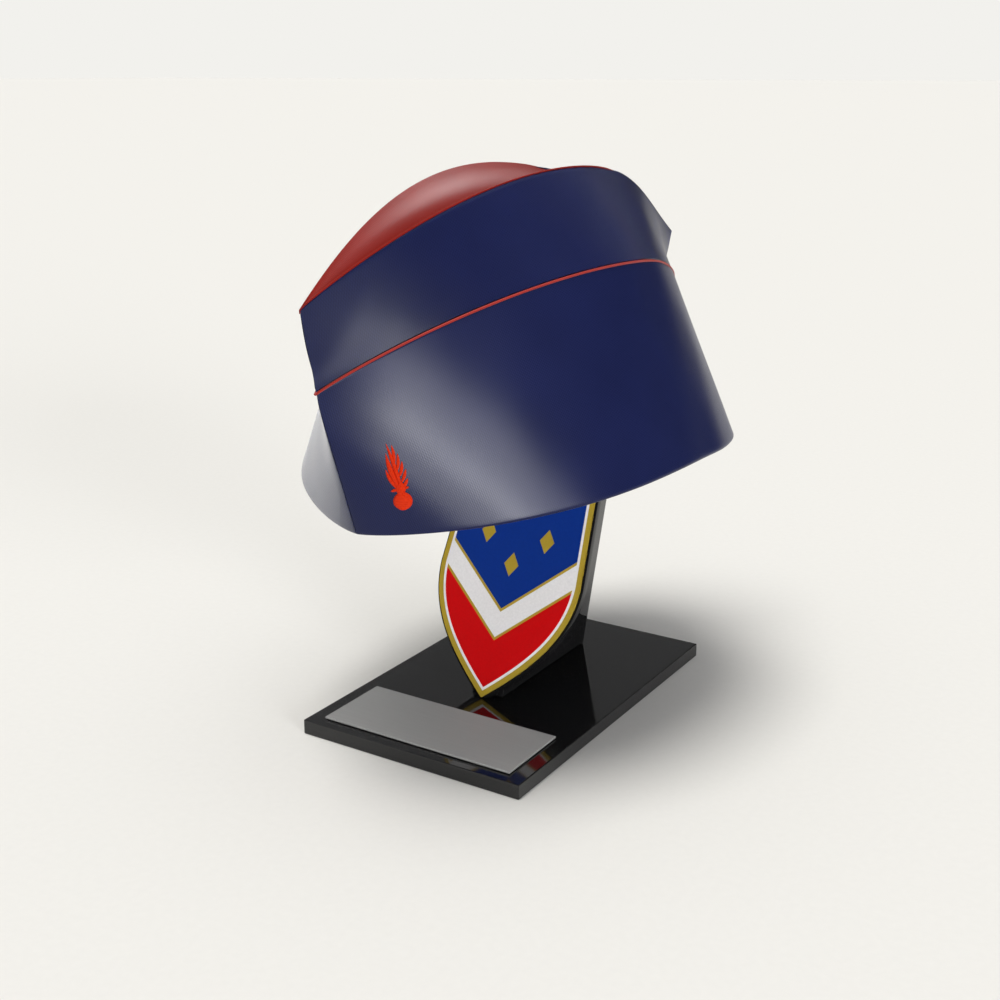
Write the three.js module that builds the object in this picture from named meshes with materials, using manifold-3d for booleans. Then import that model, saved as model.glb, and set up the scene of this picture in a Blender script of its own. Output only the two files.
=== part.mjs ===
// A cloth side cap with a turned-up band, held up by a small acrylic display stand.
// Millimetres, +Z up. The cap's front points along -Y and the wearer's left is +X.
// The origin is the centre of the stand's underside.

import * as THREE from "three";
import { mergeVertices } from "three/addons/utils/BufferGeometryUtils.js";
import Module from "manifold-3d";

const wasm = await Module();
wasm.setup();

const { lerp, degToRad } = THREE.MathUtils;

// Clearance between neighbouring pieces
const GAP = 0.3;

// The stand
const BASE = { width: 100, depth: 153.5, thickness: 6 };
const NAME_PLATE = { width: 86, depth: 34, thickness: 0.8, frontMargin: 5 };

// The upright leans back, and its middle stands a little to the wearer's right of the base's.
// Its outline is drawn on its front face, from its tip on the base: a straight side narrows
// from the shoulder to the top, and a Bezier curve runs from the shoulder to the tip.
const UPRIGHT = { middleX: -1, tipY: -22.3, lean: degToRad(25), thickness: 3, levelTop: 106 };
const SHIELD = {
  shoulder: { x: 34.4, y: 52 },
  shoulderHandle: { x: 34.4, y: 29.5 },
  tipHandle: { x: 18.6, y: 14 },
  tip: { x: 0, y: -1.4 },
  top: { x: 29, y: 140 },
};
const SHIELD_FACE = { margin: 1, height: 106, thickness: 0.6 };
const SHIELD_CURVE_STEPS = 14;

// The post: a rib behind the upright, as high as it, and a stem from there into the cap,
// with a saddle that follows the crown. The rib's rear edge leans back from its foot at footY.
const RIB = { width: 15, footY: 50, rearLean: degToRad(17.4) };
const STEM = { width: 15, depth: 8, y: 33.4 };
const SADDLE = { width: 20, thickness: 4, frontY: -10, rearY: 62, steps: 8 };

// The cap: the front of its rim, and the cloth thicknesses
const RIM_FRONT = { y: -102.4, z: 100 };
const CLOTH = { turnUp: 1.6, panel: 1.4, crown: 1.4 };
const PIPING = { radius: 0.75, sides: 8, steps: 64, runOn: 3 };
const CROWN_SINK = 8;
const CROWN_TIP_HALF_WIDTH = 0.8;

// The three lines that shape the cap, each a curve round one half of it from front to rear.
// front, rear: distance behind the rim's front, where the line starts and ends.
// frontRise, rearRise: height above the rim's front there; arch: extra rise at mid length.
// halfWidth: greatest half width, reached at the share `widest` of the length.
// Full and Point shape each end in plan: more Full is rounder, more Point is sharper.
const RIM = {
  front: 0, rear: 216.5, frontRise: 0, rearRise: 0, arch: 12, halfWidth: 77,
  widest: 0.58, frontFull: 2.8, frontPoint: 0.72, rearFull: 1.97, rearPoint: 0.58,
};
const FOLD = {
  front: -19, rear: 228.5, frontRise: 52.5, rearRise: 50.5, arch: 32, halfWidth: 45,
  widest: 0.53, frontFull: 1.75, frontPoint: 1.15, rearFull: 1.75, rearPoint: 0.76,
};
const RIDGE = {
  front: -25, rear: 243.5, frontRise: 80.5, rearRise: 80, arch: 37, halfWidth: 20,
  widest: 0.52, frontFull: 1.8, frontPoint: 1.08, rearFull: 1.9, rearPoint: 1.7,
};

// Grid of the cloth sheets: steps along the cap, drawn together towards its two ends
const ALONG = { steps: 44, gather: 0.8 };
const TURN_UP_ROWS = 4;
const PANEL_ROWS = 6;
const CROWN_COLUMNS = 8;

// The badge: a ball with tongues of flame, drawn upright and laid on the left of the turn-up.
// along, level: place of the ball's centre on the turn-up, as shares of its length and height.
const BADGE = { along: 0.0357, level: 0.217, thickness: 0.8, ballRadius: 3.25, ballSides: 20 };
// across, up: place of a tongue's root from the ball's centre; lean: clockwise from upright.
// reach, breadth: its length and greatest width; curl: how far its middle bows to the right.
// The stem comes first, then the spine, and the last two are the collar's barbs.
const TONGUES = [
  { across: -0.75, up: 2.3, lean: 3, reach: 4.8, breadth: 3.2, curl: 0 },
  { across: -0.4, up: 4.8, lean: -15.1, reach: 16.1, breadth: 1.4, curl: 0.2 },
  { across: -1.3, up: 4.9, lean: -17.4, reach: 12.7, breadth: 1.75, curl: -1.25 },
  { across: -1.8, up: 4.4, lean: -28.6, reach: 8.1, breadth: 1.15, curl: -1 },
  { across: -2.2, up: 13, lean: -1.8, reach: 6.5, breadth: 1.2, curl: 0.55 },
  { across: -1.3, up: 10.9, lean: 8, reach: 5.75, breadth: 1.2, curl: 0.5 },
  { across: -0.7, up: 8.8, lean: 16.9, reach: 5.35, breadth: 1.2, curl: 0.5 },
  { across: -0.1, up: 6.7, lean: 24.6, reach: 4.95, breadth: 1.15, curl: 0.3 },
  { across: 0.4, up: 4.8, lean: 31, reach: 3.75, breadth: 1.1, curl: 0 },
  { across: -1.7, up: 4.2, lean: -106.5, reach: 2.5, breadth: 1, curl: 0 },
  { across: 0.6, up: 4.6, lean: 80.3, reach: 1.8, breadth: 0.95, curl: 0 },
];
// A tongue's root is this share of its breadth, and its belly sits at this share of its reach.
const TONGUE = { rootShare: 0.5, bellyShare: 0.55, curveSteps: 5 };

const FINISHES = {
  navyCloth: { color: "#20264a", roughness: 0.75, metalness: 0 },
  redCloth: { color: "#a2382f", roughness: 0.75, metalness: 0 },
  redPiping: { color: "#b03026", roughness: 0.6, metalness: 0 },
  badgeThread: { color: "#d7330f", roughness: 0.55, metalness: 0 },
  blackAcrylic: { color: "#0d0d0e", roughness: 0.12, metalness: 0 },
  printedFace: { color: "#143782", roughness: 0.35, metalness: 0 },
  satinMetal: { color: "#8c8c8c", roughness: 0.4, metalness: 1 },
};

// Half width of a cap line at the share t of its length
function halfWidthAt(line, t) {
  if (t < line.widest) {
    const ahead = 1 - t / line.widest;
    return line.halfWidth * (1 - ahead ** line.frontFull) ** line.frontPoint;
  }
  const behind = (t - line.widest) / (1 - line.widest);
  return line.halfWidth * (1 - behind ** line.rearFull) ** line.rearPoint;
}

// A point of a cap line on the wearer's left, half a gap out from the seams in the middle plane
function linePoint(line, t) {
  const y = RIM_FRONT.y + lerp(line.front, line.rear, t);
  const rise = lerp(line.frontRise, line.rearRise, t) + 4 * line.arch * t * (1 - t);
  return new THREE.Vector3(GAP / 2 + halfWidthAt(line, t), y, RIM_FRONT.z + rise);
}

// The cap's outer side: level 0 is the rim, 1 the fold under the piping, 2 the ridge
function wallPoint(t, level) {
  const lower = level < 1 ? RIM : FOLD;
  const upper = level < 1 ? FOLD : RIDGE;
  const share = level < 1 ? level : level - 1;
  return linePoint(lower, t).lerp(linePoint(upper, t), share);
}

function wallNormal(t, level) {
  const step = 1e-3;
  const along = wallPoint(Math.min(t + step, 1), level).sub(wallPoint(Math.max(t - step, 0), level));
  const up = wallPoint(t, Math.min(level + step, 2)).sub(wallPoint(t, Math.max(level - step, 0)));
  return along.cross(up).normalize();
}

function insideWall(t, level, depth) {
  return wallPoint(t, level).addScaledVector(wallNormal(t, level), -depth);
}

// A point on the turn-up, a given distance below the fold and inside its outer face
function belowFold(t, distance, depth) {
  const level = 1 - distance / wallPoint(t, 1).distanceTo(wallPoint(t, 0));
  return insideWall(t, level, depth);
}

// The crown's upper face: share runs from the right ridge, -1, to the left one, 1
function crownPoint(share, t, lift) {
  const half = Math.max(halfWidthAt(RIDGE, t), CROWN_TIP_HALF_WIDTH);
  const sink = CROWN_SINK * (half / RIDGE.halfWidth) * (1 - share ** 2);
  const point = linePoint(RIDGE, t);
  return point.setX(share * half).setZ(point.z - sink + lift);
}

// The shares from 0 to 1 at equal steps
function shares(steps) {
  return Array.from({ length: steps + 1 }, (_, i) => i / steps);
}

function stations() {
  return shares(ALONG.steps).map((share) => {
    const gathered = (1 - Math.cos(Math.PI * share)) / 2;
    return lerp(share, gathered, ALONG.gather);
  });
}

// A closed sheet with two faces over one grid; column, row and outward make a right-handed set
function sheetGeometry(columns, rows, outside, inside) {
  const vertices = [outside, inside].flatMap((face) =>
    rows.flatMap((row) => columns.flatMap((column) => face(column, row).toArray())));
  const across = columns.length;
  const lastColumn = across - 1;
  const lastRow = rows.length - 1;
  const layer = across * rows.length;
  const at = (i, j) => j * across + i;
  const triangles = [];
  for (let j = 0; j < lastRow; j++) {
    for (let i = 0; i < lastColumn; i++) {
      const [a, b, c, d] = [at(i, j), at(i + 1, j), at(i + 1, j + 1), at(i, j + 1)];
      triangles.push(a, b, c, a, c, d);
      triangles.push(layer + a, layer + c, layer + b, layer + a, layer + d, layer + c);
    }
  }
  const border = [];
  for (let i = 0; i < lastColumn; i++) border.push(at(i, 0));
  for (let j = 0; j < lastRow; j++) border.push(at(lastColumn, j));
  for (let i = lastColumn; i > 0; i--) border.push(at(i, lastRow));
  for (let j = lastRow; j > 0; j--) border.push(at(0, j));
  border.forEach((a, k) => {
    const b = border[(k + 1) % border.length];
    triangles.push(b, a, layer + a, b, layer + a, layer + b);
  });
  const geometry = new THREE.BufferGeometry();
  geometry.setAttribute("position", new THREE.Float32BufferAttribute(vertices, 3));
  geometry.setIndex(triangles);
  return geometry;
}

function toSolid(geometry) {
  const bare = geometry.clone();
  bare.deleteAttribute("normal");
  bare.deleteAttribute("uv");
  const welded = mergeVertices(bare);
  const vertProperties = new Float32Array(welded.attributes.position.array);
  const triVerts = new Uint32Array(welded.index.array);
  return new wasm.Manifold(new wasm.Mesh({ numProp: 3, vertProperties, triVerts }));
}

function toGeometry(solid) {
  const { vertProperties, triVerts } = solid.getMesh();
  const geometry = new THREE.BufferGeometry();
  geometry.setAttribute("position", new THREE.BufferAttribute(vertProperties, 3));
  geometry.setIndex(new THREE.BufferAttribute(triVerts, 1));
  geometry.computeVertexNormals();
  return geometry;
}

// The mirror image across the middle plane, with its faces turned back outwards
function mirrored(geometry) {
  const image = geometry.clone().scale(-1, 1, 1);
  const index = image.index.array;
  for (let k = 0; k < index.length; k += 3) {
    [index[k], index[k + 1]] = [index[k + 1], index[k]];
  }
  image.computeVertexNormals();
  return image;
}

// All space on the wearer's left, short of the seam in the middle plane
function leftHalf() {
  const reach = 1000;
  return toSolid(new THREE.BoxGeometry(reach, reach, reach).translate(reach / 2 + GAP / 2, 0, 0));
}

function turnUpGeometry() {
  const topEdge = 2 * PIPING.radius + GAP;
  const rowPoint = (t, share, depth) => {
    const height = wallPoint(t, 1).distanceTo(wallPoint(t, 0));
    return belowFold(t, lerp(height, topEdge, share), depth);
  };
  const sheet = sheetGeometry(stations(), shares(TURN_UP_ROWS),
    (t, share) => rowPoint(t, share, 0),
    (t, share) => rowPoint(t, share, CLOTH.turnUp));
  return toGeometry(toSolid(sheet).intersect(leftHalf()));
}

// The side panel lies inside the turn-up and comes out to the wall's face at the ridge
function panelGeometry() {
  const covered = CLOTH.turnUp + GAP;
  const depthAt = (level) => covered * Math.min(1, 2 - level);
  const levels = shares(PANEL_ROWS).map((share) => 2 * share);
  const sheet = sheetGeometry(stations(), levels,
    (t, level) => insideWall(t, level, depthAt(level)),
    (t, level) => insideWall(t, level, depthAt(level) + CLOTH.panel));
  return toGeometry(toSolid(sheet).intersect(leftHalf()).subtract(crownClearance()));
}

function crownGeometry() {
  const columns = shares(CROWN_COLUMNS).map((share) => 2 * share - 1);
  return sheetGeometry(columns, stations(),
    (share, t) => crownPoint(share, t, 0),
    (share, t) => crownPoint(share, t, -CLOTH.crown));
}

// What the side panels leave free for the crown: a wider sheet with room above it
function crownClearance() {
  const overhang = 3;
  const headroom = 20;
  const widened = (share, t) => {
    const half = Math.max(halfWidthAt(RIDGE, t), CROWN_TIP_HALF_WIDTH);
    return share * (1 + overhang / half);
  };
  const columns = shares(2 * CROWN_COLUMNS).map((share) => 2 * share - 1);
  return toSolid(sheetGeometry(columns, stations(),
    (share, t) => crownPoint(widened(share, t), t, headroom),
    (share, t) => crownPoint(widened(share, t), t, -CLOTH.crown - GAP)));
}

// The piping lies on the top edge of the turn-up and runs on past the seam, where it is cut
function pipingGeometry() {
  const points = stations().map((t) => belowFold(t, PIPING.radius, CLOTH.turnUp / 2));
  const runOn = (end, next) => {
    const outward = end.clone().sub(next).normalize();
    return end.clone().addScaledVector(outward, PIPING.runOn);
  };
  points.unshift(runOn(points[0], points[1]));
  points.push(runOn(points.at(-1), points.at(-2)));
  const section = new THREE.Shape().absarc(0, 0, PIPING.radius, 0, 2 * Math.PI);
  const cord = new THREE.ExtrudeGeometry(section, {
    steps: PIPING.steps,
    curveSegments: PIPING.sides / 2,
    extrudePath: new THREE.CatmullRomCurve3(points),
  });
  return toGeometry(toSolid(cord).intersect(leftHalf()));
}

// One tongue of flame, a pointed leaf, upright from its root
function tongueShape({ reach, breadth, curl }) {
  const halfRoot = TONGUE.rootShare * breadth / 2;
  const belly = TONGUE.bellyShare * reach;
  const shape = new THREE.Shape();
  shape.moveTo(-halfRoot, 0);
  shape.quadraticCurveTo(curl - breadth, belly, 0, reach);
  shape.quadraticCurveTo(curl + breadth, belly, halfRoot, 0);
  return shape;
}

function tongueGeometry(tongue) {
  const options = { depth: BADGE.thickness, bevelEnabled: false, curveSegments: TONGUE.curveSteps };
  return new THREE.ExtrudeGeometry(tongueShape(tongue), options)
    .rotateZ(-degToRad(tongue.lean))
    .translate(tongue.across, tongue.up, 0);
}

// The flat badge is bent to the turn-up: x runs level across it, y up it and z out of it
function badgeGeometry() {
  const ball = new THREE.CylinderGeometry(
    BADGE.ballRadius, BADGE.ballRadius, BADGE.thickness, BADGE.ballSides)
    .rotateX(Math.PI / 2)
    .translate(0, 0, BADGE.thickness / 2);
  const flat = TONGUES.reduce((solid, tongue) => solid.add(toSolid(tongueGeometry(tongue))), toSolid(ball));
  const geometry = toGeometry(flat);
  const { along, level } = BADGE;
  const step = 1e-3;
  const middle = wallPoint(along, level);
  const perShare = wallPoint(along + step, level).sub(middle).divideScalar(step);
  const perLevel = wallPoint(along, level + step).sub(middle).divideScalar(step);
  const out = wallNormal(along, level);
  const across = new THREE.Vector3(0, 0, 1).cross(out).normalize();
  const up = out.clone().cross(across);
  const toDrawing = new THREE.Matrix3(
    perShare.dot(across), perLevel.dot(across), 0, perShare.dot(up), perLevel.dot(up), 0, 0, 0, 1);
  const position = geometry.attributes.position.applyMatrix3(toDrawing.invert());
  for (let k = 0; k < position.count; k++) {
    const t = along + position.getX(k);
    const height = level + position.getY(k);
    const point = insideWall(t, height, -GAP - position.getZ(k));
    position.setXYZ(k, ...point.toArray());
  }
  geometry.computeVertexNormals();
  return geometry;
}

// The shield's outline, drawn smaller towards a point on its middle line for the face
function shieldOutline(scale, height) {
  const centreY = SHIELD.shoulder.y;
  const place = ({ x, y }, side) => [side * scale * x, centreY + scale * (y - centreY)];
  const sideShare = (height - SHIELD.shoulder.y) / (SHIELD.top.y - SHIELD.shoulder.y);
  const topHalf = scale * lerp(SHIELD.shoulder.x, SHIELD.top.x, sideShare);
  const shape = new THREE.Shape();
  shape.moveTo(...place(SHIELD.tip, 1));
  shape.bezierCurveTo(
    ...place(SHIELD.tipHandle, 1), ...place(SHIELD.shoulderHandle, 1), ...place(SHIELD.shoulder, 1));
  shape.lineTo(topHalf, height);
  shape.lineTo(-topHalf, height);
  shape.lineTo(...place(SHIELD.shoulder, -1));
  shape.bezierCurveTo(
    ...place(SHIELD.shoulderHandle, -1), ...place(SHIELD.tipHandle, -1), ...place(SHIELD.tip, -1));
  return shape;
}

function shieldExtrusion(scale, height, thickness) {
  const options = { depth: thickness, bevelEnabled: false, curveSegments: SHIELD_CURVE_STEPS };
  return new THREE.ExtrudeGeometry(shieldOutline(scale, height), options);
}

// The upright plate, cut level at its foot and at its top; frame places it on the base
function shieldPlateGeometry(frame) {
  const foot = BASE.thickness + GAP;
  const height = UPRIGHT.levelTop - foot;
  const reach = 400;
  const between = new THREE.BoxGeometry(reach, reach, height)
    .translate(0, 0, foot + height / 2)
    .applyMatrix4(frame.clone().invert());
  const plate = shieldExtrusion(1, SHIELD.top.y, UPRIGHT.thickness).translate(0, 0, -UPRIGHT.thickness);
  return toGeometry(toSolid(plate).intersect(toSolid(between)));
}

function shieldFaceGeometry() {
  const scale = 1 - SHIELD_FACE.margin / SHIELD.shoulder.x;
  return shieldExtrusion(scale, SHIELD_FACE.height, SHIELD_FACE.thickness).translate(0, 0, GAP);
}

// The rib fills the angle behind the upright, seen here from the wearer's left
function ribGeometry() {
  const foot = BASE.thickness + GAP;
  const plateDepth = (UPRIGHT.thickness + GAP) / Math.cos(UPRIGHT.lean);
  const frontY = (z) => UPRIGHT.tipY + plateDepth + (z - BASE.thickness) * Math.tan(UPRIGHT.lean);
  const rearY = (z) => RIB.footY + (z - BASE.thickness) * Math.tan(RIB.rearLean);
  const side = new THREE.Shape();
  side.moveTo(frontY(foot), foot);
  side.lineTo(rearY(foot), foot);
  side.lineTo(rearY(UPRIGHT.levelTop), UPRIGHT.levelTop);
  side.lineTo(frontY(UPRIGHT.levelTop), UPRIGHT.levelTop);
  const [left, rear, up] = [[1, 0, 0], [0, 1, 0], [0, 0, 1]].map((axis) => new THREE.Vector3(...axis));
  return new THREE.ExtrudeGeometry(side, { depth: RIB.width, bevelEnabled: false })
    .translate(0, 0, -RIB.width / 2)
    .applyMatrix4(new THREE.Matrix4().makeBasis(rear, up, left))
    .translate(UPRIGHT.middleX, 0, 0);
}

// The stem stands in the rib, and its saddle lies under the crown
function postGeometry() {
  const alongRidge = (y) => (y - RIM_FRONT.y - RIDGE.front) / (RIDGE.rear - RIDGE.front);
  const saddlePoint = (share, y, lift) =>
    crownPoint(0, alongRidge(y), -CLOTH.crown - GAP + lift).setX(share * SADDLE.width / 2);
  const rows = shares(SADDLE.steps).map((share) => lerp(SADDLE.frontY, SADDLE.rearY, share));
  const saddle = sheetGeometry([-1, 1], rows,
    (share, y) => saddlePoint(share, y, 0),
    (share, y) => saddlePoint(share, y, -SADDLE.thickness));
  const foot = UPRIGHT.levelTop - STEM.depth;
  const height = saddlePoint(0, STEM.y, -SADDLE.thickness / 2).z - foot;
  const stem = new THREE.BoxGeometry(STEM.width, STEM.depth, height)
    .translate(UPRIGHT.middleX, STEM.y, foot + height / 2);
  return toGeometry(toSolid(ribGeometry()).add(toSolid(stem)).add(toSolid(saddle)));
}

function piece(name, geometry, finish) {
  const mesh = new THREE.Mesh(geometry, new THREE.MeshStandardMaterial(finish));
  mesh.name = name;
  return mesh;
}

function makeStand() {
  const stand = new THREE.Group();

  const base = piece("base_plate",
    new THREE.BoxGeometry(BASE.width, BASE.depth, BASE.thickness), FINISHES.blackAcrylic);
  base.position.z = BASE.thickness / 2;

  const { width, depth, thickness, frontMargin } = NAME_PLATE;
  const namePlate = piece("name_plate", new THREE.BoxGeometry(width, depth, thickness), FINISHES.satinMetal);
  const namePlateY = -BASE.depth / 2 + frontMargin + depth / 2;
  namePlate.position.set(0, namePlateY, BASE.thickness + GAP + thickness / 2);

  const upright = new THREE.Group();
  upright.position.set(UPRIGHT.middleX, UPRIGHT.tipY, BASE.thickness);
  upright.rotation.x = Math.PI / 2 - UPRIGHT.lean;
  upright.updateMatrix();
  upright.add(
    piece("shield_plate", shieldPlateGeometry(upright.matrix), FINISHES.blackAcrylic),
    piece("shield_face", shieldFaceGeometry(), FINISHES.printedFace),
  );

  const post = piece("cap_post", postGeometry(), FINISHES.blackAcrylic);
  stand.add(base, namePlate, upright, post);
  return stand;
}

function makeCap() {
  const cap = new THREE.Group();
  const pairs = [
    ["side_panel", panelGeometry(), FINISHES.navyCloth],
    ["turn_up", turnUpGeometry(), FINISHES.navyCloth],
    ["piping", pipingGeometry(), FINISHES.redPiping],
  ];
  for (const [name, geometry, finish] of pairs) {
    cap.add(piece(`${name}_left`, geometry, finish));
    cap.add(piece(`${name}_right`, mirrored(geometry), finish));
  }
  cap.add(piece("crown_top", crownGeometry(), FINISHES.redCloth));
  cap.add(piece("flame_badge", badgeGeometry(), FINISHES.badgeThread));
  return cap;
}

const sideCapOnStand = new THREE.Group();
sideCapOnStand.add(makeStand(), makeCap());

export default sideCapOnStand;
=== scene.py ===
"""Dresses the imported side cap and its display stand: tailored cloth, embroidery, acrylic and print."""

import math
from collections import namedtuple

import bmesh
import bpy
import numpy as np
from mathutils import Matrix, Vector


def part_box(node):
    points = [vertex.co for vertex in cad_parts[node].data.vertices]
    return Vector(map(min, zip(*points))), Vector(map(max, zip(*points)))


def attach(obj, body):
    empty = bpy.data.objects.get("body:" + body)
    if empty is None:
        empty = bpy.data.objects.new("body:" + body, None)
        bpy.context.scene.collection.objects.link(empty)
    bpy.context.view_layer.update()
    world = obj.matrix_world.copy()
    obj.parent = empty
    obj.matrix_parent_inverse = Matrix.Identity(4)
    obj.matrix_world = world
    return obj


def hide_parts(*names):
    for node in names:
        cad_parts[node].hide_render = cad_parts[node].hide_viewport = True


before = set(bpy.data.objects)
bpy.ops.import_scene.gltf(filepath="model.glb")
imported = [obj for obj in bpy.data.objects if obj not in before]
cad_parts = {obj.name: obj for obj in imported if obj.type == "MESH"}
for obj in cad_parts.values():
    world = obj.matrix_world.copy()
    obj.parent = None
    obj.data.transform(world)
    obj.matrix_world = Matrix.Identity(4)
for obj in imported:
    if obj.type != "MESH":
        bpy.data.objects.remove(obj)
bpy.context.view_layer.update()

MM = 0.001
GAP = 0.3

# The cap's three level lines, in mm from the rim's front: each half is drawn from front seam to rear seam.
CapLine = namedtuple(
    "CapLine",
    "front rear front_rise rear_rise arch half_width widest front_full front_point rear_full rear_point",
)
RIM = CapLine(0, 216.5, 0, 0, 12, 77, 0.58, 2.8, 0.72, 1.97, 0.58)
FOLD = CapLine(-19, 228.5, 52.5, 50.5, 32, 45, 0.53, 1.75, 1.15, 1.75, 0.76)
RIDGE = CapLine(-25, 243.5, 80.5, 80, 37, 20, 0.52, 1.8, 1.08, 1.9, 1.7)
RIM_FRONT_Y = -102.4
RIM_FRONT_Z = 100
STATIONS = 190
# Step of a share or level over which the wall's slope is taken
SLOPE_STEP = 1e-3

# Cloth, in mm
TURN_UP_CLOTH = 1.6
# The band's top edge: how far it stays below the fold, and the height of its rounding
TURN_UP_EDGE = 0.35
TURN_UP_ROUND = 0.4
# How far in from either face that edge's corner and its flat top begin
EDGE_CORNER = 0.12
EDGE_FLAT = 0.5
RIM_ROLL = 1.15
RIM_DROP = 0.8
# The hem inside the rim: its height, the step at its raw edge and the lip that the edge makes
HEM = 7
HEM_STEP = 0.3
HEM_LIP = 1.3
PANEL_CLOTH = 1.4
# Where the side panel starts, as a share of the band's height, and how deep it lies above the piping
PANEL_LOW = 0.14
PANEL_INSET = 0.15
# Level and span over which the panel tucks in behind the band
PANEL_TUCK_LEVEL = 1.018
PANEL_TUCK_SPAN = 0.014
# How near the seams the panel comes out to the wall's face
PANEL_NOSE = 6
# Least distance that a panel's inner face keeps from its outer one at the front and rear seams
PANEL_SEAM_DEPTH = 0.2
# The panel's top edge, from outside to inside: across and up from the ridge
PANEL_TOP_EDGE = ((-0.05, -0.5), (-0.3, -0.3), (-0.8, -0.3), (-1.2, -0.6))
CROWN_CLOTH = 1.3
CROWN_SINK = 8
CROWN_END = 0.996
CROWN_OVERLAP = 0.1
CROWN_WELT = 0.32
# The welt's round, in degrees from its outer foot over the top to the crown's valley
WELT_TURN = (-70, 140)
# From this share of the length on, the panels' edges rise over the welt, which sinks
COVER_START = 0.61
COVER_SPAN = 0.08
PANEL_COVER = 0.6
CROWN_TUCK = 0.55
PIPING_RADIUS = 0.47
PIPING_DROP = 0.15
PIPING_DEPTH = 0.1
SEAM_ROUND = 0.4
# Sharpest seam that is rounded in full, as the sine of half its angle
SEAM_SHARPEST = 0.35
SEAM_PLANE = 0.02
DRIFT = 0.22
# Slow unevenness of the cloth: waves along the cap, waves up the wall, phase
DRIFT_WAVES = ((2.3, 0.7, 0.4), (3.7, -0.5, 2.1), (5.9, 0.9, 4.0), (8.3, -1.3, 1.2))

# Top stitching, in mm
STITCH_PITCH = 2.6
STITCH_LENGTH = 2.0
STITCH_THREAD = 0.16
HEM_STITCH_RISE = 5.2
# Stations left free of stitches at each end of a row
HEM_STITCH_ENDS = 4

# The badge on the left of the turn-up, in mm
BADGE_ALONG = 0.0357
BADGE_LEVEL = 0.217
BADGE_BALL = 3.25
BADGE_RISE = 0.75
BADGE_THREAD = 0.55
BADGE_RELIEF = 0.14
# Satin stitches narrower than this lie flatter, down to a least share of the rise
BADGE_FULL_WIDTH = 2.2
BADGE_LEAST_RISE = 0.25
BADGE_SUNK = 0.2
SATIN_ROWS = 4
SATIN_COLUMNS = 11
# Each tongue of flame: its root across and up from the ball's centre, its lean in degrees clockwise,
# its length, its greatest width and how far its middle bows to the right.
# The stem comes first, then the spine, and the last two are the collar's barbs.
Tongue = namedtuple("Tongue", "across up lean reach breadth curl")
TONGUES = (
    Tongue(-0.75, 2.3, 3, 4.8, 3.2, 0),
    Tongue(-0.4, 4.8, -15.1, 16.1, 1.4, 0.2),
    Tongue(-1.3, 4.9, -17.4, 12.7, 1.75, -1.25),
    Tongue(-1.8, 4.4, -28.6, 8.1, 1.15, -1),
    Tongue(-2.2, 13, -1.8, 6.5, 1.2, 0.55),
    Tongue(-1.3, 10.9, 8, 5.75, 1.2, 0.5),
    Tongue(-0.7, 8.8, 16.9, 5.35, 1.2, 0.5),
    Tongue(-0.1, 6.7, 24.6, 4.95, 1.15, 0.3),
    Tongue(0.4, 4.8, 31, 3.75, 1.1, 0),
    Tongue(-1.7, 4.2, -106.5, 2.5, 1, 0),
    Tongue(0.6, 4.6, 80.3, 1.8, 0.95, 0),
)
TONGUE_ROOT_SHARE = 0.5
TONGUE_BELLY_SHARE = 0.55

# The stand, in mm; the upright is drawn on its own leaning plane
UPRIGHT_MIDDLE_X = -1
UPRIGHT_FOOT_Y = -22.3
BASE_TOP = 6
UPRIGHT_LEAN = math.radians(25)
UPRIGHT_THICKNESS = 3
SHIELD_TIP = (0, -1.4)
SHIELD_TIP_HANDLE = (18.6, 14)
SHIELD_SHOULDER_HANDLE = (34.4, 29.5)
SHIELD_SHOULDER = (34.4, 52)
SHIELD_TOP = (29, 140)
FACE_MARGIN = 1
FACE_THICKNESS = 0.6
FACE_BORDER = 2.2
FACE_LINE = 1.1
PLATE_EDGE = 0.45
SHIELD_EDGE = 0.12
NAME_PLATE_EDGE = 0.2
# Least cosine at a mitred corner, which limits how far the corner moves
MITRE_LEAST = 0.3
# The print, laid film on film: a V of chevrons under lozenges
INK_FILM = 0.05
CHEVRON_SLOPE = 0.85
CHEVRON_EDGES = (-100, 24, 25.4, 36, 37.4, 300)
CHEVRON_INKS = ("red", "gold", "white", "gold", "blue")
LOZENGES = ((0, 56), (-14, 68), (14, 68), (0, 80))
LOZENGE_HALF = (3.4, 5)

# The photograph's camera
CAMERA_PLACE = (0.28236, -0.45867, 0.25166)
CAMERA_AZIMUTH = 32.178
CAMERA_ELEVATION = 17.168

# Angles in degrees: sharper edges of cloth and of hard pieces stay creased, or are softened
CLOTH_CREASE = 60
HARD_CREASE = 20
BEVEL_FROM = 40

# A wave texture's scale times its band spacing, for diagonal and for straight bands
WAVE_DIAGONAL = 0.444
WAVE_STRAIGHT = 0.314
# The wool's rib is about 0.4 mm wide; it is drawn 0.9 mm wide so that it shows.
RIB_SPACING = 0.9

# The floor's half size in metres, and the direction in which the studio glows
FLOOR_HALF_SIZE = 40
LEFT_REAR = (-0.6, 0.65, 0.46)


def to_linear(hex_colour):
    """An sRGB hex colour as linear RGBA."""
    channels = [int(hex_colour[k:k + 2], 16) / 255 for k in (1, 3, 5)]
    return [c / 12.92 if c <= 0.04045 else ((c + 0.055) / 1.055) ** 2.4 for c in channels] + [1]


def add_node(tree, kind, inputs=None, **settings):
    """Adds a node; inputs gives a socket a value, or links it to another node's socket."""
    node = tree.nodes.new(kind)
    for name, value in settings.items():
        setattr(node, name, value)
    for socket, value in (inputs or {}).items():
        if isinstance(value, bpy.types.NodeSocket):
            tree.links.new(value, node.inputs[socket])
        else:
            node.inputs[socket].default_value = value
    return node


def new_material(name):
    """An empty node material and the tree to fill."""
    material = bpy.data.materials.new(name)
    material.use_nodes = True
    material.node_tree.nodes.clear()
    return material, material.node_tree


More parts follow.
